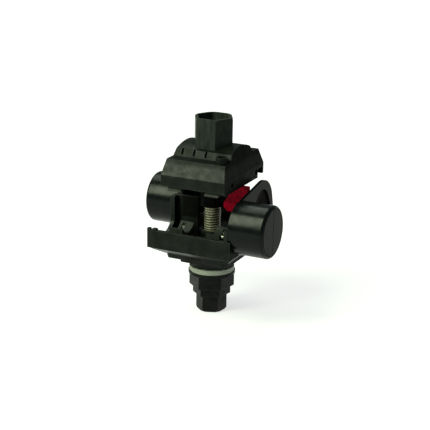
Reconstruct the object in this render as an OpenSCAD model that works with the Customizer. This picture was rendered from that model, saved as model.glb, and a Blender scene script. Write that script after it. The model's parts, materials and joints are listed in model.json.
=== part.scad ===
// Insulation piercing connector: two moulded jaws closed by one bolt on two cables lying side by side.
// X runs along the cables, Y across them, Z up the bolt. Lengths are in mm, and the bolt is on the Z axis
// with z = 0 at the lower end of the nut. The jaws are drawn open.

/* [Cables] */
// Radius of the thickest cable that a channel takes
cable_radius = 6.5; // [5.5:0.1:7]
// Diameter of the thinnest cable that the closed jaws still grip
thin_cable = 10.4; // [9.5:0.1:11.5]

/* [Motion] */
// How far the upper jaw comes down from open to closed
close_travel = 12; // [9:0.25:13]
// Height from the top of the lower jaw's walls to the upper jaw's lower edge, open
jaw_gap = 21.1; // [19.5:0.1:23]

/* [Fits] */
// Gap between pieces that slide or push together
slide_gap = 0.2; // [0.1:0.05:0.3]
// Gap round pieces that are set in the mouldings
seat_gap = 0.1; // [0.05:0.05:0.2]
// Gap that is left between the jaws when they are closed
stop_gap = 0.3; // [0.2:0.1:0.8]
// Radial gap round the bolt
bolt_gap = 0.5; // [0.3:0.05:0.6]

/* [Bolt] */
// Radius of the bolt over its thread
bolt_radius = 4; // [3:0.25:5]
// Width across the flats of the bolt head
head_flats = 13; // [11:0.5:13.5]
// Height of the bolt head
head_height = 5.3; // [4:0.1:7]
// How far the bolt's end stays inside the nut when the jaws are closed
bolt_recess = 0.8; // [0.3:0.1:3]
// Radius of the washer under the head
head_washer_radius = 6.9; // [6:0.1:7]
// Thickness of the washer under the head
head_washer_thickness = 1.6; // [1:0.1:2.5]

/* [Shear nut] */
// Width across the flats of the lower hexagon, which breaks off
break_flats = 13; // [12:0.5:14]
// Height of the lower hexagon
break_height = 8.3; // [6:0.1:11]
// Width across the flats of the middle hexagon
middle_flats = 16; // [14.5:0.5:17]
// Height of the middle hexagon
middle_height = 4.1; // [2.5:0.1:6]
// Width across the flats of the upper hexagon
nut_flats = 19; // [17.5:0.5:19.5]
// Height of the upper hexagon
nut_height = 6.6; // [5:0.1:9]
// Radius of the nut's flange
flange_radius = 11.4; // [11.2:0.1:12.5]
// Thickness of the nut's flange
flange_thickness = 1.4; // [1:0.1:2.5]
// Turn of the nut about the bolt in this pose
nut_turn = 21; // [-30:1:30]
// Height of the chamfer at the foot of the lower hexagon
nut_chamfer = 0.7; // [0.3:0.1:1.5]

/* [Thrust washer] */
// Radius of the thrust washer
thrust_radius = 11; // [9.9:0.1:12]
// Thickness of the thrust washer
thrust_thickness = 2.5; // [1.5:0.1:3.5]

/* [Lower jaw] */
// Length of the lower jaw along the cables
lower_length = 43.2; // [42:0.2:46]
// Depth of the lower jaw across the cables
lower_depth = 52; // [51:0.2:55]
// Height of the long walls from their lower edge
tray_height = 8.9; // [8:0.1:10]
// Thickness of the long walls
tray_wall = 1.8; // [1.4:0.1:2.4]
// Thickness of the tray's floor above the lower edge of the walls
tray_floor = 2.1; // [1.6:0.1:2.6]
// Thickness of the end walls
end_wall = 2; // [1.5:0.1:2.2]
// How far the end walls stand back from the ends of the long walls
end_setback = 1.6; // [1.2:0.1:2]
// Radius of the saddle in each end wall
end_saddle = 9.5; // [9:0.1:10]
// Radius of the round boss that the washer seats on
boss_radius = 9.8; // [8.5:0.1:10.8]
// Height of that boss
boss_height = 2.4; // [1.5:0.1:4]
// Length of the lowest step of the underside
foot_length = 24; // [22.5:0.5:27]
// Depth of the lowest step of the underside
foot_depth = 22.4; // [21.8:0.2:26]
// Height of the lowest step
foot_height = 3; // [2:0.1:4]
// Length of the middle step of the underside
step_length = 32.6; // [29:0.2:35]
// Depth of the middle step of the underside
step_depth = 32; // [28:0.2:35]
// Height of the middle step
step_height = 2.2; // [1.5:0.1:3.5]
// Draft on each side of those two steps
step_draft = 0.5; // [0.2:0.1:0.8]
// Height of the slope from the middle step out to the walls
slope_height = 5.4; // [4:0.1:7]
// Radius of the boss round the bolt inside the tray
inner_boss = 6.4; // [5.6:0.1:6.6]
// Height of that boss above the floor
inner_boss_height = 3; // [2:0.1:4]

/* [Guides] */
// Height of the guide wall above the floor
guide_height = 18; // [14:0.5:19]
// Thickness of the guide wall
guide_thickness = 2; // [1.5:0.1:2.4]
// Width of the flange at the guide wall's outer edge
guide_flange = 3.5; // [2.5:0.1:3.8]
// Thickness of that flange along the cables
guide_flange_thickness = 2.2; // [1.5:0.1:2.6]
// Room on each side of the guide wall in the upper jaw
guide_room = 2.2; // [2.1:0.1:2.6]
// Thickness of the red key
key_thickness = 3; // [2:0.1:3.2]
// Place across the cables of the red key's front face, from the bolt axis
key_offset = -2.8; // [-3.2:0.1:0.4]
// How far the red key stays inside the lower jaw's end
key_inset = 0.5; // [0.3:0.1:2]
// Distance from the key's inner edge to the far side of its root in the upper jaw
key_root = 7.1; // [6.4:0.1:7.4]
// How far the key's inner edge stands back at that root
key_slant = 2.9; // [2:0.1:3]
// Chamfer at the inner corner of the key's foot
key_toe = 2; // [1:0.1:3]
// Height of the catch on the long wall that holds the cap's flange
catch_height = 5.2; // [3:0.1:7]
// Length of that catch along the cables
catch_length = 1.5; // [1:0.1:1.7]
// Height of the two nibs at the other end of the wall
nib_height = 0.7; // [0.4:0.1:1.2]

/* [Upper jaw] */
// How far the upper jaw's ends stand back from the lower jaw's
upper_setback = 5.1; // [4.7:0.1:5.6]
// How far the upper jaw's sides stand back from the lower jaw's
upper_inset = 4; // [3.6:0.1:4.2]
// Height of the upright band round the upper jaw
fascia_height = 5.3; // [4:0.1:7]
// Height of the slope from the band to the deck
roof_rise = 7.3; // [6:0.1:8.5]
// How far that slope runs in
roof_run = 3.3; // [2.5:0.1:4]
// Lean of the two ends, as mm in for each mm up
end_lean = 0.2; // [0.1:0.02:0.3]
// Depth of the crown at its foot
crown_foot = 24.4; // [22:0.2:28]
// Depth of the crown at its shoulders
crown_shoulder = 17.6; // [17.4:0.2:20]
// Height of the crown above the deck
crown_rise = 5.5; // [5:0.1:7.5]
// Radius of the crown's top
crown_radius = 24; // [22:1:36]
// Width across the outer flats of the hexagonal tube
tube_flats = 17.3; // [17:0.1:18.5]
// Height of the tube above the crown
tube_height = 12.6; // [9:0.1:15]
// Wall of the tube
tube_wall = 1.4; // [1.1:0.1:1.5]
// Chamfer on the corners of the tube's rim
tube_chamfer = 0.9; // [0.4:0.1:1.2]
// Height of the tube's floor above the deck
socket_base = 1.7; // [1:0.1:2.4]
// Radius of the sleeve round the bolt
sleeve_radius = 6.4; // [5.8:0.1:6.6]
// How far the web and the end walls hang below the band
web_drop = 1; // [0.6:0.1:2]
// How far the end walls' feet stand back from the band
web_inset = 1.6; // [1.2:0.1:2]
// Radius of the channels in the upper jaw
arch_radius = 9.2; // [8.8:0.1:9.4]
// Thickness of the upper jaw's end walls
upper_wall = 2.2; // [1.6:0.1:2.6]
// Radius of the small round pit over each channel in the end walls
pit_radius = 1.3; // [0.8:0.1:1.8]
// Depth of that pit
pit_depth = 1.2; // [0.6:0.1:1.4]
// Height of the pit's centre above the band's foot
pit_height = 2.2; // [1.9:0.1:3]
// Width of the notch in each end wall, beside the band
notch_width = 5; // [3:0.1:6]
// Height of that notch above the band's foot
notch_height = 3.2; // [2:0.1:4]
// Length of the short slots at the crown's foot
vent_length = 2.6; // [2:0.1:3]
// Height of those slots above the deck
vent_foot = 0.8; // [0.5:0.1:1.2]
// Place along the cables of the middle slot
vent_place = -4.6; // [-6:0.1:-3]
// Width of those slots
vent_width = 1; // [0.6:0.1:1.4]
// Distance from slot to slot
vent_pitch = 6.1; // [4.5:0.1:7]
// Depth of those slots
vent_depth = 2.6; // [1.8:0.1:3]
// Radius of the round lug on the deck
lug_radius = 2.7; // [2:0.1:2.9]
// Height of the round lug
lug_height = 3.2; // [2:0.1:4]
// Wall of the round lug
lug_wall = 1; // [0.6:0.1:1.4]
// Depth of the hollow in the lug
lug_hollow = 1.8; // [0.8:0.1:1.9]
// Distance from the lug to the deck's end
lug_edge = 0.6; // [0.3:0.1:1.2]

/* [Seals] */
// Distance from the bolt axis to each seal's nearer face
bank_inner = 6.1; // [5.8:0.1:6.4]
// Gap between a seal and the upper jaw's end wall
seal_inset = 1.2; // [0.8:0.1:1.6]
// Half angle of the saddle that a lower seal gives the cable
seal_angle = 58; // [56:1:60]
// Half angle of an upper seal's saddle
upper_seal_angle = 26; // [20:1:32]
// Wall of a lower seal outside its saddle
seal_wall = 0.6; // [0.4:0.1:0.9]
// Thickness of a lower seal under the cable
lower_seal_base = 4.1; // [3.6:0.1:4.4]
// Thickness of an upper seal over the cable
upper_seal_back = 4.7; // [4:0.1:5.2]

/* [Blades] */
// Thickness of a contact blade
blade_thickness = 1.5; // [1:0.1:1.9]
// How far a blade lies outward of the middle of its seals
blade_shift = 1.3; // [1.1:0.1:1.6]
// How far the tooth tips lie under the seal's saddle
tip_depth = 0.2; // [0.1:0.05:0.5]
// Depth of the teeth
tooth_depth = 1.7; // [1:0.1:2]
// Number of teeth in each lower comb
lower_teeth = 5; // [3:1:7]
// Number of teeth in each upper comb
upper_teeth = 3; // [1:1:3]
// Angle from tooth to tooth
tooth_pitch = 18; // [14:1:20]
// Half width of each comb
comb_half = 5.2; // [4.6:0.1:5.3]
// Height of the lower bar that joins the two combs
lower_bar = 2.5; // [2:0.1:2.7]
// How deep the lower bar lies in the floor
lower_bar_seat = 1; // [0.6:0.1:1.4]
// Height of the upper bar
upper_bar = 3.5; // [2.5:0.1:4.2]
// Length of the bars past the combs
bar_end = 0.8; // [0.4:0.1:1]

/* [End caps] */
// Outer radius of a cap
cap_radius = 12.6; // [12:0.1:13]
// Length of a cap from its mouth
cap_length = 17.5; // [14:0.5:24]
// Wall of a cap
cap_wall = 2; // [1.4:0.1:2.6]
// Thickness of a cap's closed end
cap_end = 2.1; // [1.5:0.1:3]
// Rounding of the closed end's edge
cap_round = 1.5; // [0.8:0.1:1.8]
// Thickness of the cap's flange
cap_flange = 1.4; // [1:0.1:1.8]
// Wall of the half collar that lies in the end wall's saddle
collar_wall = 1.3; // [1:0.1:1.5]
// Length of that collar
collar_length = 2.7; // [2:0.1:3.2]
// Gap between the cable and the eyelet in the right cap's flange
eyelet_gap = 0.5; // [0.4:0.1:0.9]
// Width of the rim at the eyelet's foot
eyelet_rim = 2.9; // [2:0.1:3.4]
// Width of the rim at the eyelet's top
eyelet_peak = 4.4; // [3:0.1:6]
// How much wider the eyelet is at its top, as a radius
eyelet_flare = 1; // [0.5:0.1:2]
// How far the eyelet is drawn out upwards
eyelet_lift = 4.3; // [3.5:0.1:5]
// How far the eyelet's top leans towards the cap
eyelet_lean = 3.6; // [2.5:0.1:4.5]

/* [Hidden] */
$fn = 96;
eps = 0.01;
wide = 200;

bolt_hole = bolt_radius + bolt_gap;
seal_saddle = cable_radius + seat_gap;
lower_side = lower_depth / 2;
channel_offset = lower_side - cap_radius;

// Heights, from the nut up to the tray
break_top = break_height;
middle_top = break_top + middle_height;
nut_top = middle_top + nut_height;
flange_top = nut_top + flange_thickness;
thrust_top = flange_top + thrust_thickness;
boss_top = thrust_top + boss_height;
foot_top = boss_top + foot_height;
step_top = foot_top + step_height;
wall_foot = step_top + slope_height;
wall_top = wall_foot + tray_height;
floor_top = wall_foot + tray_floor;
inner_boss_top = floor_top + inner_boss_height;
channel_z = floor_top + lower_seal_base + seal_saddle;
lower_saddle = channel_z - seal_saddle;
guide_top = floor_top + guide_height;
lower_bar_foot = floor_top - lower_bar_seat;
lower_bar_top = lower_bar_foot + lower_bar;

// Heights of the upper jaw
fascia_foot = wall_top + jaw_gap;
fascia_top = fascia_foot + fascia_height;
deck_z = fascia_top + roof_rise;
crown_top = deck_z + crown_rise;
tube_top = crown_top + tube_height;
web_foot = fascia_foot - web_drop;
sleeve_foot = inner_boss_top + close_travel + stop_gap;
upper_saddle = lower_saddle + thin_cable + close_travel;
upper_axis = upper_saddle - seal_saddle;
arch_axis = upper_saddle + upper_seal_back - arch_radius;
guide_slot_top = guide_top + close_travel + stop_gap;
upper_bar_foot = max(guide_slot_top + seat_gap, upper_saddle + 2 * tooth_depth);
upper_bar_top = upper_bar_foot + upper_bar;
key_foot = lower_bar_top + close_travel + stop_gap;
key_step = wall_top + close_travel + stop_gap;
key_top = upper_bar_foot - stop_gap;
key_heel = key_foot + 2 * key_toe;
key_bend = key_heel + 1.6 * key_slant;

// Heights of the bolt
socket_floor = deck_z + socket_base;
head_foot = socket_floor + head_washer_thickness;
head_top = head_foot + head_height;
bolt_end = close_travel + bolt_recess;

// Places along the cables
lower_end = lower_length / 2;
end_face = lower_end - end_setback;
end_inner = end_face - end_wall;
upper_end = lower_end - upper_setback;
upper_length = 2 * upper_end;
upper_inner = upper_end - upper_wall;
bank_outer = upper_inner - seal_inset;
seal_length = bank_outer - bank_inner;
blade_place = (bank_inner + bank_outer) / 2 + blade_shift;
guide_inner = sleeve_radius + 3 * slide_gap;
guide_outer = end_face;
key_inner = guide_inner;
key_outer = end_face - key_inset;
cap_mouth = end_face + slide_gap;
key_waist = cap_mouth - collar_length - slide_gap;

// Places across the cables
tray_inside = lower_side - tray_wall;
upper_side = lower_side - upper_inset;
upper_depth = 2 * upper_side;
deck_depth = upper_depth - 2 * roof_run;
guide_near = -guide_thickness;
eyelet_radius = cable_radius + eyelet_gap;
seal_half = seal_saddle * sin(seal_angle) + seal_wall;
blade_half = channel_offset + comb_half + bar_end;

// Extrudes an outline drawn in Y and Z along X.
module along_x(x0, x1) {
    translate([x0, 0, 0])
        rotate([90, 0, 90])
            linear_extrude(x1 - x0)
                children();
}

// Extrudes an outline drawn in X and Z along Y.
module along_y(y0, y1) {
    translate([0, y1, 0])
        rotate([90, 0, 0])
            linear_extrude(y1 - y0)
                children();
}

// A box from its two corners.
module block(a, b) {
    translate(a)
        cube(b - a);
}

// A prism or rod on the bolt axis.
module rod(r, z0, z1) {
    translate([0, 0, z0])
        cylinder(r = r, h = z1 - z0);
}

module hex_prism(flats, z0, z1) {
    translate([0, 0, z0])
        cylinder(r = flats / sqrt(3), h = z1 - z0, $fn = 6);
}

// Children once in front and once at the back.
module front_and_rear() {
    children();
    mirror([0, 1, 0])
        children();
}

module both_ends() {
    children();
    mirror([1, 0, 0])
        children();
}

// A four-sided outline that narrows from its foot to its head.
module taper(foot_width, head_width, z0, z1) {
    polygon([
        [-foot_width / 2, z0],
        [foot_width / 2, z0],
        [head_width / 2, z1],
        [-head_width / 2, z1]
    ]);
}

// A block with four leaning sides, as one outline crossed with another.
module leaning_block(length0, depth0, length1, depth1, z0, z1) {
    intersection() {
        along_x(-wide, wide)
            taper(depth0, depth1, z0, z1);
        along_y(-wide, wide)
            taper(length0, length1, z0, z1);
    }
}

// Upper jaw

module roof_outline() {
    translate([-upper_side, fascia_foot])
        square([upper_depth, fascia_height]);
    taper(upper_depth, deck_depth, fascia_top - eps, deck_z);
    intersection() {
        translate([0, crown_top - crown_radius])
            circle(r = crown_radius);
        taper(crown_foot, crown_shoulder, deck_z - eps, crown_top);
    }
}

module roof_ends() {
    top = crown_top + 1;
    translate([-upper_end, web_foot - 1])
        square([upper_length, fascia_top - web_foot + 1]);
    taper(upper_length, upper_length - 2 * end_lean * (top - fascia_top), fascia_top - eps, top);
}

module roof() {
    intersection() {
        along_x(-wide, wide)
            roof_outline();
        along_y(-wide, wide)
            roof_ends();
    }
}

// The part under the band: its end walls close the channels down to the web's foot.
module centre_web() {
    half = upper_side - web_inset;
    block([-upper_end, -half, web_foot], [upper_end, half, fascia_foot + 1]);
}

module channels() {
    front_and_rear()
        along_x(-upper_inner, upper_inner)
            translate([channel_offset, arch_axis])
                circle(r = arch_radius);
}

// A small round pit over each channel in the two end walls.
module end_pits() {
    both_ends()
        front_and_rear()
            along_x(upper_end - pit_depth, wide)
                translate([channel_offset, fascia_foot + pit_height])
                    circle(r = pit_radius);
}

// A notch in each end wall on the side of the eyelet, or at the other end across from it.
module end_notches() {
    outer = upper_side - web_inset;
    for (turn = [0, 180])
        rotate([0, 0, turn])
            block([upper_inner - eps, outer - notch_width, web_foot - 1],
                [upper_end + 1, outer, fascia_foot + notch_height]);
}

// Three short slots that run down each side of the crown.
module vents() {
    for (k = [-1:1:1])
        front_and_rear()
            translate([vent_place + k * vent_pitch, -crown_foot / 2, deck_z + vent_foot])
                block([-vent_width / 2, -wide, 0], [vent_width / 2, vent_depth, vent_length]);
}

module lug() {
    x = upper_end - end_lean * roof_rise - lug_radius - lug_edge;
    y = (deck_depth + crown_foot) / 4;
    translate([x, -y, deck_z - eps])
        difference() {
            cylinder(r = lug_radius, h = lug_height + eps);
            translate([0, 0, lug_height - lug_hollow])
                cylinder(r = lug_radius - lug_wall, h = lug_height);
        }
}

module hex_tube() {
    corner = tube_flats / sqrt(3);
    intersection() {
        hex_prism(tube_flats, deck_z, tube_top);
        rotate_extrude()
            polygon([
                [0, deck_z],
                [corner, deck_z],
                [corner, tube_top - tube_chamfer],
                [corner - tube_chamfer, tube_top],
                [0, tube_top]
            ]);
    }
}

module upper_blade_slots() {
    half = blade_thickness / 2 + seat_gap;
    reach = blade_half + seat_gap;
    both_ends()
        block([blade_place - half, -reach, web_foot - 1],
            [blade_place + half, reach, upper_bar_top + seat_gap]);
}

module guide_slot() {
    block([-upper_end - 1, guide_near - guide_room, web_foot - 1],
        [-guide_inner + slide_gap, guide_room, guide_slot_top]);
}

module key_seat() {
    block([key_inner + key_slant - seat_gap, key_offset - seat_gap, web_foot - 1],
        [key_inner + key_root + seat_gap, key_offset + key_thickness + seat_gap, key_top + seat_gap]);
}

// A fin from the sleeve to the key's inner edge.
module key_fin() {
    start = sleeve_radius - 1;
    end = key_inner + key_slant - slide_gap;
    along_y(key_offset, key_offset + key_thickness)
        polygon([
            [start, key_heel],
            [key_inner - slide_gap, key_heel],
            [end, key_bend],
            [end, web_foot + 1],
            [start, web_foot + 1]
        ]);
}

module upper_jaw() {
    color([0.07, 0.08, 0.07])
        difference() {
            union() {
                difference() {
                    union() {
                        roof();
                        centre_web();
                        hex_tube();
                        lug();
                        key_fin();
                    }
                    channels();
                    end_pits();
                    end_notches();
                    vents();
                    upper_blade_slots();
                    guide_slot();
                    key_seat();
                }
                rod(sleeve_radius, sleeve_foot, fascia_top);
            }
            rod(bolt_hole, sleeve_foot - 1, tube_top);
            hex_prism(tube_flats - 2 * tube_wall, socket_floor, tube_top + 1);
        }
}

// Lower jaw

module tray() {
    draft = 2 * step_draft;
    leaning_block(foot_length - draft, foot_depth - draft, foot_length, foot_depth, boss_top, foot_top);
    leaning_block(step_length - draft, step_depth - draft, step_length, step_depth, foot_top - eps, step_top);
    intersection() {
        leaning_block(step_length, step_depth, lower_length, lower_depth, step_top - eps, wall_foot);
        block([-end_face, -wide, 0], [end_face, wide, wide]);
    }
    block([-end_face, -lower_side + eps, wall_foot - eps], [end_face, lower_side - eps, floor_top]);
    front_and_rear()
        block([-lower_end, -lower_side, wall_foot - eps], [lower_end, -tray_inside, wall_top]);
    both_ends()
        block([end_inner, -tray_inside - eps, floor_top - eps], [end_face, tray_inside + eps, wall_top]);
    rod(boss_radius, thrust_top, boss_top + eps);
    rod(inner_boss, floor_top - eps, inner_boss_top);
}

module end_saddles() {
    front_and_rear()
        along_x(-wide, wide)
            translate([channel_offset, channel_z])
                circle(r = end_saddle);
}

// The wall on the left that runs up into the upper jaw, with a flange at its outer edge.
module guide_wall() {
    block([-guide_outer, guide_near, floor_top - eps], [-guide_inner, 0, guide_top]);
    block([-guide_outer, guide_near - guide_flange, floor_top - eps],
        [-guide_outer + guide_flange_thickness, guide_near + eps, guide_top]);
}

module catches() {
    x = cap_mouth - slide_gap - eps;
    for (turn = [0, 180])
        rotate([0, 0, turn]) {
            block([x - catch_length, -lower_side, wall_top - eps],
                [x, -tray_inside, wall_top + catch_height]);
            for (place = [-lower_end, -end_face + catch_length])
                block([place, -lower_side, wall_top - eps],
                    [place + catch_length, -tray_inside, wall_top + nib_height]);
        }
}

module lower_blade_slots() {
    half = blade_thickness / 2 + seat_gap;
    reach = blade_half + seat_gap;
    both_ends()
        block([blade_place - half, -reach, lower_bar_foot],
            [blade_place + half, reach, lower_bar_top + seat_gap]);
}

module lower_jaw() {
    color([0.07, 0.08, 0.07])
        difference() {
            union() {
                difference() {
                    tray();
                    end_saddles();
                }
                guide_wall();
                catches();
            }
            lower_blade_slots();
            rod(bolt_hole, thrust_top - 1, inner_boss_top + 1);
        }
}

// Bolt, washers and nut

module bolt() {
    color([0.75, 0.74, 0.68])
        union() {
            rod(bolt_radius, bolt_end, head_foot + eps);
            hex_prism(head_flats, head_foot, head_top);
        }
}

module head_washer() {
    color([0.7, 0.7, 0.7])
        difference() {
            rod(head_washer_radius, socket_floor, head_foot);
            rod(bolt_hole, socket_floor - 1, head_foot + 1);
        }
}

module thrust_washer() {
    color([0.72, 0.76, 0.7])
        difference() {
            rod(thrust_radius, flange_top, thrust_top);
            rod(bolt_hole, flange_top - 1, thrust_top + 1);
        }
}

module shear_nut() {
    corner = break_flats / sqrt(3);
    color([0.1, 0.1, 0.1])
        rotate([0, 0, nut_turn])
            difference() {
                union() {
                    intersection() {
                        hex_prism(break_flats, 0, break_top + eps);
                        rotate_extrude()
                            polygon([
                                [0, 0],
                                [corner - nut_chamfer, 0],
                                [corner, nut_chamfer],
                                [corner, break_top + 1],
                                [0, break_top + 1]
                            ]);
                    }
                    hex_prism(middle_flats, break_top, middle_top + eps);
                    hex_prism(nut_flats, middle_top, nut_top + eps);
                    rod(flange_radius, nut_top, flange_top);
                }
                rod(bolt_hole, -1, flange_top + 1);
            }
}

// Red key, with its root in the upper jaw and its foot narrow enough to pass the lower jaw's end wall

module key_outline() {
    root = key_inner + key_slant;
    polygon([
        [key_inner + key_toe, key_foot],
        [key_waist, key_foot],
        [key_waist, key_step],
        [key_outer, key_step],
        [key_outer, web_foot],
        [key_inner + key_root, web_foot],
        [key_inner + key_root, key_top],
        [root, key_top],
        [root, key_bend],
        [key_inner, key_heel],
        [key_inner, key_foot + key_toe]
    ]);
}

module guide_key() {
    color([0.65, 0.02, 0.05])
        along_y(key_offset, key_offset + key_thickness)
            key_outline();
}

// Contact blades

// What stays clear of a comb: the circle through the tooth tips and the gaps between the teeth.
// The outline is drawn about the channel axis, with the comb below it.
module comb_cut(teeth) {
    tip = seal_saddle + tip_depth;
    half = tip * tan(tooth_pitch / 2);
    circle(r = tip);
    for (k = [0:1:teeth])
        rotate((k - teeth / 2) * tooth_pitch)
            polygon([
                [-half, -tip * 0.98],
                [0, -tip - tooth_depth],
                [half, -tip * 0.98]
            ]);
}

module lower_blade_outline() {
    translate([-blade_half, lower_bar_foot])
        square([2 * blade_half, lower_bar]);
    for (side = [-1, 1])
        translate([side * channel_offset, 0])
            difference() {
                translate([-comb_half, lower_bar_foot])
                    square([2 * comb_half, channel_z - lower_bar_foot - seal_saddle * cos(seal_angle)]);
                translate([0, channel_z])
                    comb_cut(lower_teeth);
            }
}

module upper_blade_outline() {
    foot = upper_axis + seal_saddle * cos(upper_seal_angle);
    translate([-blade_half, upper_bar_foot])
        square([2 * blade_half, upper_bar]);
    for (side = [-1, 1])
        translate([side * channel_offset, 0])
            difference() {
                translate([-comb_half, foot])
                    square([2 * comb_half, upper_bar_top - foot]);
                translate([0, upper_axis])
                    rotate(180)
                        comb_cut(upper_teeth);
            }
}

module lower_blade(side) {
    x = side * blade_place;
    color([0.8, 0.79, 0.75])
        along_x(x - blade_thickness / 2, x + blade_thickness / 2)
            lower_blade_outline();
}

module upper_blade(side) {
    x = side * blade_place;
    color([0.8, 0.79, 0.75])
        along_x(x - blade_thickness / 2, x + blade_thickness / 2)
            upper_blade_outline();
}

// Seals

module blade_room(side, z0, z1) {
    half = blade_thickness / 2 + seat_gap;
    block([blade_place - half, side * channel_offset - comb_half - seat_gap, z0],
        [blade_place + half, side * channel_offset + comb_half + seat_gap, z1]);
}

// A pad on the tray's floor, drawn on the right; side -1 is the front channel.
module lower_seal(side) {
    half = blade_thickness / 2 + seat_gap;
    horn = channel_z - seal_saddle * cos(seal_angle);
    bar = lower_bar_top + seat_gap;
    difference() {
        along_x(bank_inner, bank_inner + seal_length)
            translate([side * channel_offset, 0])
                difference() {
                    translate([-seal_half, floor_top])
                        square([2 * seal_half, horn - floor_top]);
                    translate([0, channel_z])
                        circle(r = seal_saddle);
                }
        blade_room(side, floor_top - 1, channel_z);
        block([blade_place - half, -blade_half - seat_gap, floor_top - 1],
            [blade_place + half, blade_half + seat_gap, bar]);
    }
}

module upper_seal(side) {
    half = blade_thickness / 2 + seat_gap;
    horn = upper_axis + seal_saddle * cos(upper_seal_angle);
    bar = upper_bar_foot - seat_gap;
    difference() {
        along_x(bank_inner, bank_inner + seal_length)
            translate([side * channel_offset, 0])
                difference() {
                    intersection() {
                        translate([0, arch_axis])
                            circle(r = arch_radius - seat_gap);
                        translate([-wide, horn])
                            square([2 * wide, wide]);
                    }
                    translate([0, upper_axis])
                        circle(r = seal_saddle);
                }
        blade_room(side, upper_axis, wide);
        block([blade_place - half, -blade_half - seat_gap, bar],
            [blade_place + half, blade_half + seat_gap, wide]);
    }
}

module right_seal(low, side) {
    color([0.09, 0.09, 0.09])
        if (low)
            lower_seal(side);
        else
            upper_seal(side);
}

module left_seal(low, side) {
    mirror([1, 0, 0])
        right_seal(low, side);
}

// End caps

// A closed rubber cap for the right end, its axis on the X axis and its mouth at x = 0.
module cap_shell() {
    rotate([0, 90, 0])
        rotate_extrude()
            difference() {
                union() {
                    square([cap_radius, cap_length - cap_round]);
                    square([cap_radius - cap_round, cap_length]);
                    translate([cap_radius - cap_round, cap_length - cap_round])
                        circle(r = cap_round);
                }
                translate([-eps, -eps])
                    square([cap_radius - cap_wall + eps, cap_length - cap_end + eps]);
            }
}

// The mouth ring that closes in on the collar.
module cap_mouth_ring() {
    rotate([0, 90, 0])
        difference() {
            cylinder(r = cap_radius, h = cap_flange);
            translate([0, 0, -1])
                cylinder(r = end_saddle - slide_gap - collar_wall, h = cap_flange + 2);
        }
}

// The lower half of a tube that lies in the end wall's saddle.
module cap_collar() {
    outer = end_saddle - slide_gap;
    along_x(-collar_length, eps)
        intersection() {
            difference() {
                circle(r = outer);
                circle(r = outer - collar_wall);
            }
            translate([-wide, -wide])
                square([2 * wide, wide]);
        }
}

// What a cap stays clear of: the ends of the lower jaw's long walls.
module wall_ends() {
    front_and_rear()
        block([0, -lower_side - 1, 0],
            [lower_end + slide_gap, -tray_inside + slide_gap, wall_top + nib_height + slide_gap]);
}

module cap_body() {
    translate([cap_mouth, -channel_offset, channel_z]) {
        cap_shell();
        cap_mouth_ring();
        cap_collar();
    }
}

// Two discs drawn together along a common tangent, on the left of the line from a to b (1) or the right (-1).
module drawn_discs(a, ra, b, rb, way) {
    run = b - a;
    turn = atan2(run[1], run[0]) + way * acos(max(-1, min(1, (ra - rb) / norm(run))));
    out = [cos(turn), sin(turn)];
    polygon(way > 0 ? [a, a + ra * out, b + rb * out, b] : [a, b, b + rb * out, a + ra * out]);
}

// A slot with round ends of two sizes.
module drawn_slot(a, ra, b, rb) {
    translate(a)
        circle(r = ra);
    translate(b)
        circle(r = rb);
    drawn_discs(a, ra, b, rb, 1);
    drawn_discs(a, ra, b, rb, -1);
}

// The flange joins the cap to the eyelet at the other channel by their common tangents.
module eyelet_flange() {
    a = [-channel_offset, channel_z];
    b = [channel_offset, channel_z];
    top = b + [-eyelet_lean, eyelet_lift];
    top_radius = eyelet_radius + eyelet_flare;
    rim = eyelet_radius + eyelet_rim;
    top_rim = top_radius + eyelet_peak;
    along_x(cap_mouth, cap_mouth + cap_flange)
        difference() {
            union() {
                drawn_discs(a, cap_radius, top, top_rim, 1);
                drawn_discs(a, cap_radius, b, rim, -1);
                polygon([a, b, top]);
                drawn_slot(b, rim, top, top_rim);
            }
            translate(a)
                circle(r = cap_radius - cap_wall);
            drawn_slot(b, eyelet_radius, top, top_radius);
        }
}

module right_end_cap() {
    color([0.1, 0.1, 0.1])
        difference() {
            union() {
                cap_body();
                eyelet_flange();
            }
            wall_ends();
        }
}

module left_end_cap() {
    color([0.1, 0.1, 0.1])
        rotate([0, 0, 180])
            difference() {
                cap_body();
                wall_ends();
            }
}

upper_jaw();
lower_jaw();
bolt();
head_washer();
thrust_washer();
shear_nut();
right_end_cap();
left_end_cap();
guide_key();
upper_blade(-1);  // upper_blade_left
upper_blade(1);  // upper_blade_right
lower_blade(-1);  // lower_blade_left
lower_blade(1);  // lower_blade_right
left_seal(false, -1);  // upper_seal_front_left
right_seal(false, -1);  // upper_seal_front_right
left_seal(false, 1);  // upper_seal_rear_left
right_seal(false, 1);  // upper_seal_rear_right
left_seal(true, -1);  // lower_seal_front_left
right_seal(true, -1);  // lower_seal_front_right
left_seal(true, 1);  // lower_seal_rear_left
right_seal(true, 1);  // lower_seal_rear_right
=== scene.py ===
"""Looks of the insulation piercing connector: materials, edges, the bolt's thread, light and camera."""

import json
import math

import bmesh
import bpy
from mathutils import Matrix, Vector


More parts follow.
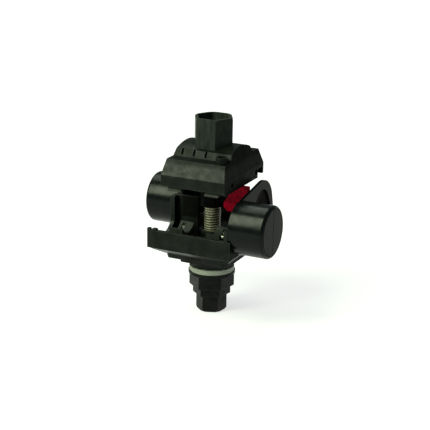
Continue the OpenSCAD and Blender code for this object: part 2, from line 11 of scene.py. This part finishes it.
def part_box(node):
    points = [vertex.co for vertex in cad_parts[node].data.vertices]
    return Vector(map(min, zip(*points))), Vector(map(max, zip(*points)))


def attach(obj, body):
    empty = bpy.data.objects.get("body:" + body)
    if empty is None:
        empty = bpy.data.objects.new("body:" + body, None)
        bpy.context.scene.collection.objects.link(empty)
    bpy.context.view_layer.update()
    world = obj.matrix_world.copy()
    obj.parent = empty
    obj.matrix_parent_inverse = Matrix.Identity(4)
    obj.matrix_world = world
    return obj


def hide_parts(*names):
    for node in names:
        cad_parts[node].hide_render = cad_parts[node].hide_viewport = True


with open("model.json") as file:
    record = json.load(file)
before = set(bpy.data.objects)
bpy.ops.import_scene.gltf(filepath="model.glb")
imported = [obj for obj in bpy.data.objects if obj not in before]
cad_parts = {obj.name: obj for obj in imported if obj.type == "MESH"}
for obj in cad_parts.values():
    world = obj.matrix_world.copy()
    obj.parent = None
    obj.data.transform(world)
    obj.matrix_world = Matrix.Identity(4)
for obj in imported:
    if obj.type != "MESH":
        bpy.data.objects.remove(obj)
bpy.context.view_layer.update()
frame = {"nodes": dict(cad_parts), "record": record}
nodes = frame["nodes"]
slots = {part["node"]: part["material_slot"] for part in frame["record"]["subparts"]}
mounts = {mount["name"]: mount["pos_m"] for mount in frame["record"]["mounts"]}
scene = bpy.context.scene
scene.view_settings.view_transform = "Standard"

# Places on the part, in millimetres from the frame's origin

MM = 0.001
# Axis of the rear channel. The front channel lies across from it, at -CHANNEL_Y.
CHANNEL_Y, CHANNEL_Z = (place / MM for place in mounts["rear_channel"][1:])
# End of the lower jaw, where the outer face of the right cap's flange lies
JAW_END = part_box("lower_jaw")[1].x / MM
# Closed end of the right cap
CAP_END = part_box("right_end_cap")[1].x / MM
# Height from which the roof of the upper jaw is dull
DULL_FROM = 76.0
# Top of its crown, and the height from which the tube shows at the crown's sides
CROWN_TOP = 84.0
TUBE_FOOT = 81.4
# Radius round the bolt that holds the whole tube
TUBE_REACH = 10.0
# Space between the jaws that lies in the dark, where its colour is darkened with painted shade
CORE_FOOT = 45.2
CORE_TOP = 62.0
CORE_HALF_LENGTH = 15.0


# Node trees

NOISE_LOW, NOISE_HIGH = 0.3, 0.7
BLACK = (0.0, 0.0, 0.0)


class Shader:
    """One material with its node tree, built step by step."""

    def __init__(self, name):
        self.material = bpy.data.materials.new(name)
        self.material.use_nodes = True
        self.tree = self.material.node_tree
        self.tree.nodes.clear()
        out = self.add("ShaderNodeOutputMaterial")
        self.surface = self.add("ShaderNodeBsdfPrincipled")
        self.link(self.surface.outputs["BSDF"], out.inputs["Surface"])
        places = self.add("ShaderNodeTexCoord")
        self.place = places.outputs["Object"]
        self.facing = places.outputs["Normal"]

    def add(self, kind):
        return self.tree.nodes.new(kind)

    def link(self, source, target):
        self.tree.links.new(source, target)

    def set(self, **sockets):
        """Plain values set on the surface's sockets."""
        for name, value in sockets.items():
            self.surface.inputs[name.replace("_", " ")].default_value = value

    def drive(self, socket, source):
        """The source sets that socket of the surface."""
        self.link(source, self.surface.inputs[socket])

    def source_of(self, socket):
        """The source that sets that socket of the surface so far."""
        return self.surface.inputs[socket].links[0].from_socket

    def noise(self, grain_mm, detail=3.0, stretch=None):
        """Noise whose grain is about that many millimetres, with its axes scaled if asked."""
        node = self.add("ShaderNodeTexNoise")
        node.inputs["Scale"].default_value = 1.0 / (grain_mm * MM)
        node.inputs["Detail"].default_value = detail
        source = self.place
        if stretch:
            mapping = self.add("ShaderNodeMapping")
            mapping.inputs["Scale"].default_value = stretch
            self.link(source, mapping.inputs["Vector"])
            source = mapping.outputs["Vector"]
        self.link(source, node.inputs["Vector"])
        return node.outputs["Fac"]

    def spread(self, value, low, high, start=NOISE_LOW, end=NOISE_HIGH):
        """From low to high as the value goes from start to end, and held there outside."""
        node = self.add("ShaderNodeMapRange")
        node.inputs["From Min"].default_value = start
        node.inputs["From Max"].default_value = end
        node.inputs["To Min"].default_value = low
        node.inputs["To Max"].default_value = high
        self.link(value, node.inputs["Value"])
        return node.outputs["Result"]

    def past(self, length, at_mm, over_mm, low=0.0, high=1.0):
        """From low to high as a length passes at_mm, within the next over_mm."""
        return self.spread(length, low, high, start=at_mm * MM, end=(at_mm + over_mm) * MM)

    def axes(self, source=None):
        """The place in the object's own frame, or another vector, as X, Y and Z."""
        node = self.add("ShaderNodeSeparateXYZ")
        self.link(source or self.place, node.inputs["Vector"])
        return node.outputs

    def from_bolt(self):
        """The distance from the Z axis, which is the bolt's."""
        flat = self.add("ShaderNodeVectorMath")
        flat.operation = "MULTIPLY"
        flat.inputs[1].default_value = (1, 1, 0)
        self.link(self.place, flat.inputs[0])
        far = self.add("ShaderNodeVectorMath")
        far.operation = "LENGTH"
        self.link(flat.outputs["Vector"], far.inputs[0])
        return far.outputs["Value"]

    def math(self, operation, first, second=0.0):
        """One step of arithmetic on sockets or plain numbers."""
        node = self.add("ShaderNodeMath")
        node.operation = operation
        for socket, value in zip(node.inputs, (first, second)):
            if isinstance(value, (int, float)):
                socket.default_value = value
            else:
                self.link(value, socket)
        return node.outputs["Value"]

    def product(self, first, *others):
        for other in others:
            first = self.math("MULTIPLY", first, other)
        return first

    def absolute(self, value):
        return self.math("ABSOLUTE", value)

    def blend(self, share, first, second):
        """From the first colour to the second as the share goes from 0 to 1."""
        node = self.add("ShaderNodeMix")
        node.data_type = "RGBA"
        self.link(share, node.inputs["Factor"])
        colour_inputs = [socket for socket in node.inputs if socket.type == "RGBA"]
        for socket, value in zip(colour_inputs, (first, second)):
            if isinstance(value, tuple):
                socket.default_value = (*value, 1)
            else:
                self.link(value, socket)
        return next(socket for socket in node.outputs if socket.type == "RGBA")

    def colours(self, value, low, high):
        """A colour between low and high as the value goes through the usual range of noise."""
        node = self.add("ShaderNodeValToRGB")
        ends = node.color_ramp.elements
        for end, place, colour in zip(ends, (NOISE_LOW, NOISE_HIGH), (low, high)):
            end.position = place
            end.color = (*colour, 1)
        self.link(value, node.inputs["Fac"])
        return node.outputs["Color"]

    def closeness(self, reach_mm, inside):
        """1 on an open face, less near an inner corner, or near an outer edge if looked at from inside."""
        node = self.add("ShaderNodeAmbientOcclusion")
        node.inside = inside
        node.only_local = True
        node.samples = 8
        node.inputs["Distance"].default_value = reach_mm * MM
        return node.outputs["AO"]

    def rounded(self, radius_mm):
        """The normal of the surface with its sharp edges rounded off."""
        node = self.add("ShaderNodeBevel")
        node.samples = 6
        node.inputs["Radius"].default_value = radius_mm * MM
        return node.outputs["Normal"]

    def bump(self, height, strength, depth_mm, under=None):
        """A normal with that relief, on top of another normal if one is given."""
        node = self.add("ShaderNodeBump")
        node.inputs["Strength"].default_value = strength
        node.inputs["Distance"].default_value = depth_mm * MM
        self.link(height, node.inputs["Height"])
        if under:
            self.link(under, node.inputs["Normal"])
        return node.outputs["Normal"]


# Materials

def moulded(name, low, high, rough, grain_mm=0.25, relief=0.25, gloss=0.5, edge_highlight=None, uneven=0.1,
            cloud_mm=6.0, ends=1.0):
    """Moulded plastic or rubber with a cloudy colour, an uneven gloss and a fine grain.

    An edge highlight colour rounds the edges, lightens them to that colour as a painted highlight and
    darkens the inner corners with painted shade. The gloss of the faces that look along the cables is
    multiplied by ends.
    """
    s = Shader(name)
    colour = s.colours(s.noise(cloud_mm), low, high)
    smooth_edge = None
    if edge_highlight:
        # Painted shade: the colour darkens towards black in inner corners, where shade falls.
        painted_corner_shade = s.closeness(reach_mm=5.0, inside=False)
        colour = s.blend(s.spread(painted_corner_shade, 0.3, 1.0, start=0.25, end=0.85), BLACK, colour)
        # Painted highlight: the outer edges are lightened to the edge highlight colour, standing in for
        # the light they catch.
        rim = s.closeness(reach_mm=0.6, inside=True)
        colour = s.blend(s.spread(rim, 0.9, 0.0, start=0.55, end=0.9), colour, edge_highlight)
        smooth_edge = s.rounded(radius_mm=0.25)
    s.drive("Base Color", colour)
    shine = s.spread(s.noise(4.0, detail=2.0), gloss * (1 - uneven), gloss * (1 + uneven))
    end_face = s.spread(s.absolute(s.axes(s.facing)["X"]), 1.0, ends, start=0.9, end=0.97)
    s.drive("Specular IOR Level", s.product(shine, end_face))
    s.drive("Roughness", s.spread(s.noise(3.0), rough - 0.05, rough + 0.05))
    waves = s.bump(s.noise(9.0, detail=1.0), strength=0.25, depth_mm=0.12, under=smooth_edge)
    s.drive("Normal", s.bump(s.noise(grain_mm, detail=2.0), relief, depth_mm=0.03, under=waves))
    return s


def plated(name, low, high, rough, stretch, relief=0.2, metallic=1.0):
    """Plated or bare metal with fine drawn lines."""
    s = Shader(name)
    s.set(Metallic=metallic)
    s.drive("Base Color", s.colours(s.noise(2.0), low, high))
    s.drive("Roughness", s.spread(s.noise(1.2), rough - 0.07, rough + 0.07))
    s.drive("Normal", s.bump(s.noise(0.3, detail=2.0, stretch=stretch), relief, depth_mm=0.02))
    return s


def paint_thread_shade(s, root, crest, shade):
    """Darkens a metal towards that shade between the thread's crest and root, as painted shade in the
    thread's grooves.
    """
    # Painted shade: the base colour darkens towards the thread's root.
    depth = s.past(s.from_bolt(), root, crest - root, low=shade)
    s.drive("Base Color", s.blend(depth, BLACK, s.source_of("Base Color")))
    return s


def add_parting_line_and_rim_shade(s, ring_radius=11.2, line_and_rim_shade_colour=(0.0005, 0.0006, 0.0006)):
    """A dark, slightly wavy line down the middle of a cap's closed end, left by the mould, and a dark ring
    near the end's rim, which is painted shade.
    """
    place = s.axes()
    wave = s.spread(s.noise(5.0, detail=1.0), -0.35 * MM, 0.35 * MM)
    across = s.math("SUBTRACT", s.absolute(place["Y"]), CHANNEL_Y * MM)
    up = s.math("SUBTRACT", place["Z"], CHANNEL_Z * MM)
    line = s.past(s.absolute(s.math("ADD", across, wave)), 0.15, 0.35, low=0.8, high=0.0)
    from_axis = s.math("SQRT", s.math("ADD", s.product(across, across), s.product(up, up)))
    # Painted shade: a dark ring near the rim of the cap's end face.
    off_ring = s.absolute(s.math("SUBTRACT", from_axis, ring_radius * MM))
    ring = s.past(off_ring, 0.1, 0.3, low=0.7, high=0.0)
    on_end = s.past(s.absolute(place["X"]), CAP_END - 0.7, 0.3)
    share = s.product(s.math("MAXIMUM", line, ring), on_end)
    s.drive("Base Color", s.blend(share, s.source_of("Base Color"), line_and_rim_shade_colour))
    rest = s.math("SUBTRACT", 1.0, share)
    s.drive("Specular IOR Level", s.product(s.source_of("Specular IOR Level"), rest))
    return s


def add_jaw_zones(s):
    """The jaws' roof is duller than its slope; the tube has drawn streaks and a paler colour that is
    partly painted light; the core between the jaws gets painted shade.
    """
    place, facing = s.axes(), s.axes(s.facing)
    height = place["Z"]
    upright = s.spread(s.absolute(facing["Z"]), 1.0, 0.0, start=0.2, end=0.4)
    near_bolt = s.past(s.from_bolt(), TUBE_REACH, 0.3, low=1.0, high=0.0)
    tube_foot = s.product(upright, s.past(height, TUBE_FOOT, 0.8), near_bolt)
    tube = s.math("MAXIMUM", tube_foot, s.past(height, CROWN_TOP + 0.2, 0.4))
    in_height = s.product(s.past(height, CORE_FOOT, 1.0), s.past(height, CORE_TOP, 2.0, low=1.0, high=0.0))
    painted_shade_core = s.product(in_height, s.past(s.absolute(place["X"]), CORE_HALF_LENGTH, 0.6, low=1.0, high=0.0))
    # The tube's colour: drawn streaks, made paler than the jaws' as painted light on the tube.
    drawn = s.noise(1.6, stretch=(1, 1, 0.25))
    streaks_and_painted_light = s.colours(drawn, (0.0150, 0.0180, 0.0150), (0.0330, 0.0385, 0.0325))
    # Painted shade: the core between the jaws is darkened halfway towards black.
    colour = s.blend(s.product(painted_shade_core, 0.5), s.source_of("Base Color"), BLACK)
    s.drive("Base Color", s.blend(tube, colour, streaks_and_painted_light))
    core_gloss = s.spread(painted_shade_core, 1.0, 0.15, start=0.0, end=1.0)
    slope_gloss = s.spread(facing["Z"], 1.0, 1.35, start=0.25, end=0.38)
    roof_gloss = s.past(height, DULL_FROM, 1.5, low=1.0, high=0.42)
    gloss = s.product(s.source_of("Specular IOR Level"), core_gloss, slope_gloss, roof_gloss)
    s.drive("Specular IOR Level", gloss)
    return s


def jaw_plastic():
    # The edge colour below is a painted highlight along the outer edges; the inner corners get painted
    # shade.
    return add_jaw_zones(moulded(
        "jaw_plastic", (0.0052, 0.0066, 0.0050), (0.0084, 0.0104, 0.0080), rough=0.36, gloss=0.105,
        edge_highlight=(0.022, 0.028, 0.021), uneven=0.35, ends=0.10))


def nut_plastic():
    # The edge colour below is a painted highlight along the outer edges; the inner corners get painted
    # shade.
    return moulded(
        "nut_plastic", (0.0036, 0.0050, 0.0039), (0.0058, 0.0076, 0.0061), rough=0.38, gloss=0.085,
        edge_highlight=(0.020, 0.024, 0.020), uneven=0.3)


def pale_plastic():
    return moulded(
        "pale_plastic", (0.44, 0.46, 0.39), (0.54, 0.56, 0.48), rough=0.5, grain_mm=0.4, relief=0.1,
        gloss=0.3)


def red_plastic():
    return moulded(
        "red_plastic", (0.18, 0.001, 0.008), (0.95, 0.002, 0.045), rough=0.4, grain_mm=0.6, relief=0.1,
        gloss=0.05, cloud_mm=3.0)


def cap_rubber():
    return add_parting_line_and_rim_shade(moulded(
        "cap_rubber", (0.0024, 0.0036, 0.0037), (0.0040, 0.0056, 0.0058), rough=0.22, grain_mm=0.4,
        relief=0.06, gloss=0.115, ends=0.2))


def seal_rubber():
    return moulded(
        "seal_rubber", (0.016, 0.018, 0.015), (0.026, 0.028, 0.024), rough=0.6, grain_mm=0.5, relief=0.2,
        gloss=0.2)


def petal_rubber():
    return moulded(
        "petal_rubber", (0.0030, 0.0030, 0.0026), (0.0060, 0.0058, 0.0050), rough=0.6, grain_mm=0.5,
        relief=0.3, gloss=0.04)


def zinc_steel():
    return plated("zinc_steel", (0.60, 0.57, 0.41), (0.78, 0.75, 0.56), rough=0.30, stretch=(1, 1, 8))


def bolt_zinc():
    zinc = plated(
        "bolt_zinc", (0.80, 0.77, 0.55), (0.94, 0.91, 0.68), rough=0.34, stretch=(1, 1, 8), relief=0.03,
        metallic=0.75)
    return paint_thread_shade(zinc, root=3.3, crest=3.9, shade=0.16)


def tinned_blade():
    return plated("tinned_blade", (0.36, 0.36, 0.32), (0.50, 0.50, 0.45), rough=0.52, stretch=(6, 1, 1))


shaders = {
    "jaw": jaw_plastic(),
    "zinc_steel": zinc_steel(),
    "pale_plastic": pale_plastic(),
    "nut_plastic": nut_plastic(),
    "cap_rubber": cap_rubber(),
    "seal_rubber": seal_rubber(),
    "red_plastic": red_plastic(),
    "tinned_blade": tinned_blade(),
}


# Pieces

# Angle from which an edge of a piece made here stays sharp
CREASE = math.radians(40)


def add_object(name, data):
    obj = bpy.data.objects.new(name, data)
    scene.collection.objects.link(obj)
    return obj


def add_mesh(name, points, faces):
    mesh = bpy.data.meshes.new(name)
    mesh.from_pydata(points, [], faces)
    return add_object(name, mesh)


def shade_smooth(mesh):
    for polygon in mesh.polygons:
        polygon.use_smooth = True


def finish_piece(obj, shader):
    """Gives a piece its material."""
    obj.data.materials.clear()
    obj.data.materials.append(shader.material)


# Edges of the CAD nodes, by modifiers that leave their meshes as they are, in millimetres

SHARP = math.radians(28)
EDGE_WIDTH = 0.25
EDGE_WIDTHS = {"right_end_cap": 0.3, "left_end_cap": 0.3, "head_washer": 0.12, "guide_key": 0.3}
BLADE_EDGE_WIDTH = 0.1
WELD_GAP = 0.002
# Nodes with ringed faces, which a bevel would fold over: their material rounds the edges instead
RINGED = ("upper_jaw", "lower_jaw", "shear_nut")


def weld(obj):
    modifier = obj.modifiers.new("weld", "WELD")
    modifier.merge_threshold = WELD_GAP * MM


def weigh_normals(obj):
    modifier = obj.modifiers.new("normals", "WEIGHTED_NORMAL")
    modifier.keep_sharp = False
    modifier.weight = 60


def soften(obj, width_mm, segments=3):
    """Rounds the sharp edges of a node."""
    weld(obj)
    flat = obj.modifiers.new("flat", "DECIMATE")
    flat.decimate_type = "DISSOLVE"
    flat.angle_limit = math.radians(0.4)
    bevel = obj.modifiers.new("bevel", "BEVEL")
    bevel.width = width_mm * MM
    bevel.segments = segments
    bevel.limit_method = "ANGLE"
    bevel.angle_limit = SHARP
    bevel.use_clamp_overlap = True
    bevel.miter_outer = "MITER_ARC"
    weigh_normals(obj)


def part_edges(obj):
    """Parts the shading at the sharp edges of a node."""
    weld(obj)
    split = obj.modifiers.new("split", "EDGE_SPLIT")
    split.split_angle = SHARP
    split.use_edge_sharp = False
    weigh_normals(obj)


for name, obj in nodes.items():
    finish_piece(obj, shaders[slots[name]])
    shade_smooth(obj.data)
    if name in RINGED:
        part_edges(obj)
    elif "blade" in name:
        soften(obj, BLADE_EDGE_WIDTH, segments=2)
    else:
        soften(obj, EDGE_WIDTHS.get(name, EDGE_WIDTH))


# Bolt with a cut thread, in place of the CAD's plain cylinder

BOLT_RADIUS = 4.0 * MM
PITCH = 1.25 * MM
THREAD_DEPTH = 0.74 * MM
# Plain shank between the thread and the head
SHANK_LENGTH = 14 * MM
HEAD_FLATS = 13.0 * MM
HEAD_CHAMFER = 0.9 * MM
# Steps up the chamfer: share of it that is still above, and share of the corners' reach
CHAMFER_STEPS = [(1.0, 1.0), (0.6, 0.965), (0.3, 0.92), (0.0, 0.86)]
# One pitch of the thread: place along it, and the cut there as a share of the depth
THREAD_PROFILE = [(0.0, 1), (0.125, 1), (0.42, 0.06), (0.46, 0), (0.54, 0), (0.58, 0.06), (0.875, 1)]
THREAD_SIDES = 72
HEAD_SIDES = 96
# Where the thread fades in at the bolt's end, and where the shank's skin fades into the thread
LEAD_IN = 0.8 * PITCH
RUN_OUT = 0.6 * PITCH
# How far one skin is sunk into the next, and how close points fall together
SUNK = 0.02 * MM
CLOSE = 0.0005 * MM


def add_rings(points, faces, rings):
    """Adds a closed skin through rings of points, each ring of the same number."""
    count, first = len(rings[0]), len(points)
    points += [p for ring in rings for p in ring]
    faces.append([first + i for i in range(count)][::-1])
    faces.append([len(points) - count + i for i in range(count)])
    for k in range(len(rings) - 1):
        for i in range(count):
            a, b = first + k * count + i, first + k * count + (i + 1) % count
            faces.append([a, b, b + count, a + count])


def add_thread(points, faces, low, high):
    """Adds the skin of a right-hand metric thread between two heights, faded out at both."""
    width = len(THREAD_PROFILE)
    turns = int((high - low) / PITCH) + 2
    first = len(points)
    for i in range(THREAD_SIDES * turns + 1):
        angle = 2 * math.pi * i / THREAD_SIDES
        for place, share in THREAD_PROFILE:
            z = low + PITCH * (i / THREAD_SIDES + place - 1)
            fade = max(0.0, min(1.0, (z - low) / LEAD_IN, (high - z) / PITCH))
            r = BOLT_RADIUS - THREAD_DEPTH * (1 - fade * (1 - share))
            points.append((r * math.cos(angle), r * math.sin(angle), min(max(z, low), high)))
    for i in range(THREAD_SIDES * turns):
        for k in range(width):
            a, b = first + i * width + k, first + (i + 1) * width + k
            if k < width - 1:
                faces.append([a, b, b + 1, a + 1])
            elif i + THREAD_SIDES < THREAD_SIDES * turns:
                up = first + (i + THREAD_SIDES) * width
                faces.append([a, b, up + width, up])


def bolt_ring(z, reach):
    """A ring of points at one height, with its reach from the axis given for each angle."""
    angles = [2 * math.pi * i / HEAD_SIDES for i in range(HEAD_SIDES)]
    return [(reach(a) * math.cos(a), reach(a) * math.sin(a), z) for a in angles]


def round_bar(radius):
    return lambda angle: radius


def hexagon(share):
    """The head's hexagon, its corners cut back to that share of their reach."""
    most = HEAD_FLATS / math.sqrt(3) * share
    return lambda angle: min(HEAD_FLATS / 2 / math.cos(angle % (math.pi / 3) - math.pi / 6), most)


def close_skin(mesh):
    """Joins points that fall together, fills the open ends and turns every face outward."""
    skin = bmesh.new()
    skin.from_mesh(mesh)
    bmesh.ops.remove_doubles(skin, verts=skin.verts, dist=CLOSE)
    bmesh.ops.dissolve_degenerate(skin, edges=skin.edges, dist=CLOSE)
    bmesh.ops.holes_fill(skin, edges=[e for e in skin.edges if e.is_boundary], sides=0)
    bmesh.ops.recalc_face_normals(skin, faces=skin.faces)
    skin.to_mesh(mesh)
    skin.free()
    mesh.update()


def make_bolt():
    low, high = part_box("bolt")
    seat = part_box("head_washer")[1].z
    thread_top = seat - SHANK_LENGTH
    core_radius = BOLT_RADIUS - THREAD_DEPTH - SUNK
    points, faces = [], []
    add_thread(points, faces, low.z, thread_top)
    add_rings(points, faces, [
        bolt_ring(thread_top - RUN_OUT, round_bar(core_radius)),
        bolt_ring(thread_top, round_bar(BOLT_RADIUS)),
        bolt_ring(seat + SUNK / 2, round_bar(BOLT_RADIUS)),
    ])
    chamfer = [bolt_ring(high.z - down * HEAD_CHAMFER, hexagon(share)) for down, share in CHAMFER_STEPS]
    add_rings(points, faces, [bolt_ring(seat, hexagon(1.0))] + chamfer)
    obj = add_mesh("threaded_bolt", points, faces)
    close_skin(obj.data)
    shade_smooth(obj.data)
    obj.data.set_sharp_from_angle(angle=CREASE)
    finish_piece(obj, bolt_zinc())
    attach(obj, "upper")
    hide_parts("bolt")


make_bolt()


# Soft petals that close the eyelet until a cable is pushed through, in millimetres

# The eyelet is a slot from a circle on the channel's axis to a wider one that leans towards the cap
EYELET_FOOT = (CHANNEL_Y, CHANNEL_Z)
EYELET_RUN = (-3.6, 4.3)
EYELET_FOOT_RADIUS = 7.0
EYELET_TOP_RADIUS = 8.0
EYELET_MIDDLE = [foot + run / 2 for foot, run in zip(EYELET_FOOT, EYELET_RUN)]
# Depth of the petals' roots behind the flange's outer face
PETAL_SETBACK = 1.2
# How far they bulge inward towards the middle, and how much more along their middle lines
PETAL_BULGE = 2.3
PETAL_ARCH = 0.35
PETAL_THICKNESS = 0.35
PETALS = 10
SLIT = math.radians(0.9)
# Reach of the petals' tips and roots, as shares of the eyelet's
PETAL_TIP, PETAL_ROOT = 0.08, 1.02
PETAL_ROWS = 8
PETAL_COLUMNS = 8


def in_eyelet(y, z):
    off_y, off_z = y - EYELET_FOOT[0], z - EYELET_FOOT[1]
    along = (off_y * EYELET_RUN[0] + off_z * EYELET_RUN[1]) / (EYELET_RUN[0] ** 2 + EYELET_RUN[1] ** 2)
    share = max(0.0, min(1.0, along))
    radius = EYELET_FOOT_RADIUS + share * (EYELET_TOP_RADIUS - EYELET_FOOT_RADIUS)
    return math.hypot(off_y - share * EYELET_RUN[0], off_z - share * EYELET_RUN[1]) < radius


def eyelet_point(angle, far):
    """The point at that angle and distance from the eyelet's middle."""
    return EYELET_MIDDLE[0] + far * math.cos(angle), EYELET_MIDDLE[1] + far * math.sin(angle)


def eyelet_reach(angle, step=0.02):
    """Distance from the eyelet's middle to its edge, found by stepping outward."""
    far = 0.0
    while in_eyelet(*eyelet_point(angle, far)):
        far += step
    return far


def petal_skin(start, end, depth):
    """Rows of points from a petal's tip to its root, between two angles."""
    points = []
    for i in range(PETAL_ROWS + 1):
        share = PETAL_TIP + (PETAL_ROOT - PETAL_TIP) * i / PETAL_ROWS
        for j in range(PETAL_COLUMNS + 1):
            angle = start + (end - start) * j / PETAL_COLUMNS
            arch = PETAL_ARCH * math.sin(math.pi * j / PETAL_COLUMNS)
            x = JAW_END - PETAL_SETBACK - depth - max(0.0, 1 - share) * (PETAL_BULGE + arch)
            y, z = eyelet_point(angle, eyelet_reach(angle) * share)
            points.append((x * MM, y * MM, z * MM))
    return points


def add_petal(points, faces, start, end):
    """Adds one petal: an outer and an inner skin, joined all round their rim."""
    first = len(points)
    points += petal_skin(start, end, 0.0) + petal_skin(start, end, PETAL_THICKNESS)
    width = PETAL_COLUMNS + 1
    layer = (PETAL_ROWS + 1) * width
    for i in range(PETAL_ROWS):
        for j in range(PETAL_COLUMNS):
            a = first + i * width + j
            faces.append([a, a + 1, a + 1 + width, a + width])
            faces.append([a + layer, a + layer + width, a + layer + 1 + width, a + layer + 1])
    rim = [first + j for j in range(width)]
    rim += [first + i * width + PETAL_COLUMNS for i in range(1, PETAL_ROWS + 1)]
    rim += [first + PETAL_ROWS * width + j for j in range(PETAL_COLUMNS - 1, -1, -1)]
    rim += [first + i * width for i in range(PETAL_ROWS - 1, 0, -1)]
    for a, b in zip(rim, rim[1:] + rim[:1]):
        faces.append([a, a + layer, b + layer, b])


def make_petals():
    """A thin rubber skin in the eyelet, slit from its middle into petals that bulge a little inward."""
    points, faces = [], []
    turn = 2 * math.pi / PETALS
    for k in range(PETALS):
        add_petal(points, faces, turn * k + SLIT / 2, turn * (k + 1) - SLIT / 2)
    obj = add_mesh("eyelet_petals", points, faces)
    shade_smooth(obj.data)
    obj.data.set_sharp_from_angle(angle=CREASE)
    finish_piece(obj, petal_rubber())
    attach(obj, "right_cap")


make_petals()


# Floor and light, in metres

FLOOR_HALF = 6.0
FLOOR_DROP = 0.0002
FLOOR_GREY = 0.5
# What the floor adds where it is seen, near the object and far from the lamps, to look white
GLOW_NEAR, GLOW_FAR = 0.66, 1.0
GLOW_START, GLOW_END = 0.6, 2.0
LIT_POINT = Vector((0, 0, 0.05))
LAMP_DISTANCE = 1.6


def floor_material():
    s = Shader("pale_floor")
    s.set(Base_Color=(FLOOR_GREY, FLOOR_GREY, FLOOR_GREY, 1), Roughness=0.9, Specular_IOR_Level=0.0)
    path = s.add("ShaderNodeLightPath").outputs
    seen = s.math("MAXIMUM", path["Is Camera Ray"], path["Is Glossy Ray"])
    seen = s.math("MAXIMUM", seen, path["Is Transmission Ray"])
    glow = s.spread(s.from_bolt(), GLOW_NEAR, GLOW_FAR, start=GLOW_START, end=GLOW_END)
    s.set(Emission_Color=(1, 1, 1, 1))
    s.drive("Emission Strength", s.product(seen, glow))
    return s.material


def make_floor():
    corners = [(x * FLOOR_HALF, y * FLOOR_HALF, 0) for x, y in ((-1, -1), (1, -1), (1, 1), (-1, 1))]
    obj = add_mesh("floor", corners, [(0, 1, 2, 3)])
    obj.location.z = -FLOOR_DROP
    obj.data.materials.append(floor_material())


def make_world(colour, strength):
    world = bpy.data.worlds.new("studio")
    world.use_nodes = True
    back = world.node_tree.nodes["Background"]
    back.inputs["Color"].default_value = (*colour, 1)
    back.inputs["Strength"].default_value = strength
    scene.world = world


def lamp(name, direction, size, power, colour):
    """A soft rectangular light that faces the object's middle."""
    data = bpy.data.lights.new(name, "AREA")
    data.shape = "RECTANGLE"
    data.size, data.size_y = size
    data.energy = power
    data.color = colour
    obj = add_object(name, data)
    way = Vector(direction).normalized()
    obj.location = LIT_POINT + way * LAMP_DISTANCE
    obj.rotation_euler = way.to_track_quat("Z", "Y").to_euler()


make_floor()
make_world(colour=(0.88, 0.97, 1.0), strength=0.2)
lamp("key", direction=(-0.41, -0.61, 0.68), size=(0.5, 1.25), power=30.0, colour=(0.87, 1.0, 0.72))
lamp("back", direction=(-0.41, 0.30, 0.86), size=(1.0, 0.7), power=9.0, colour=(0.90, 1.0, 0.86))


# Camera, fitted to the photograph

SENSOR_WIDTH = 36.0
PHOTO_PIXELS = 430
FOCAL_PIXELS = 1222.43
AZIMUTH = math.radians(25.78)
ELEVATION = math.radians(17.73)
ROLL = math.radians(0.81)
CAMERA_TARGET = Vector((1.08, 0.52, 47.78)) * MM
CAMERA_DISTANCE = 589.15 * MM


def make_camera():
    data = bpy.data.cameras.new("camera")
    data.sensor_fit = "HORIZONTAL"
    data.sensor_width = SENSOR_WIDTH
    data.lens = SENSOR_WIDTH * FOCAL_PIXELS / PHOTO_PIXELS
    obj = add_object("camera", data)
    level = math.cos(ELEVATION)
    back = Vector((math.sin(AZIMUTH) * level, -math.cos(AZIMUTH) * level, math.sin(ELEVATION)))
    turn = back.to_track_quat("Z", "Y").to_matrix() @ Matrix.Rotation(ROLL, 3, "Z")
    obj.matrix_world = Matrix.Translation(CAMERA_TARGET + back * CAMERA_DISTANCE) @ turn.to_4x4()
    scene.camera = obj


make_camera()
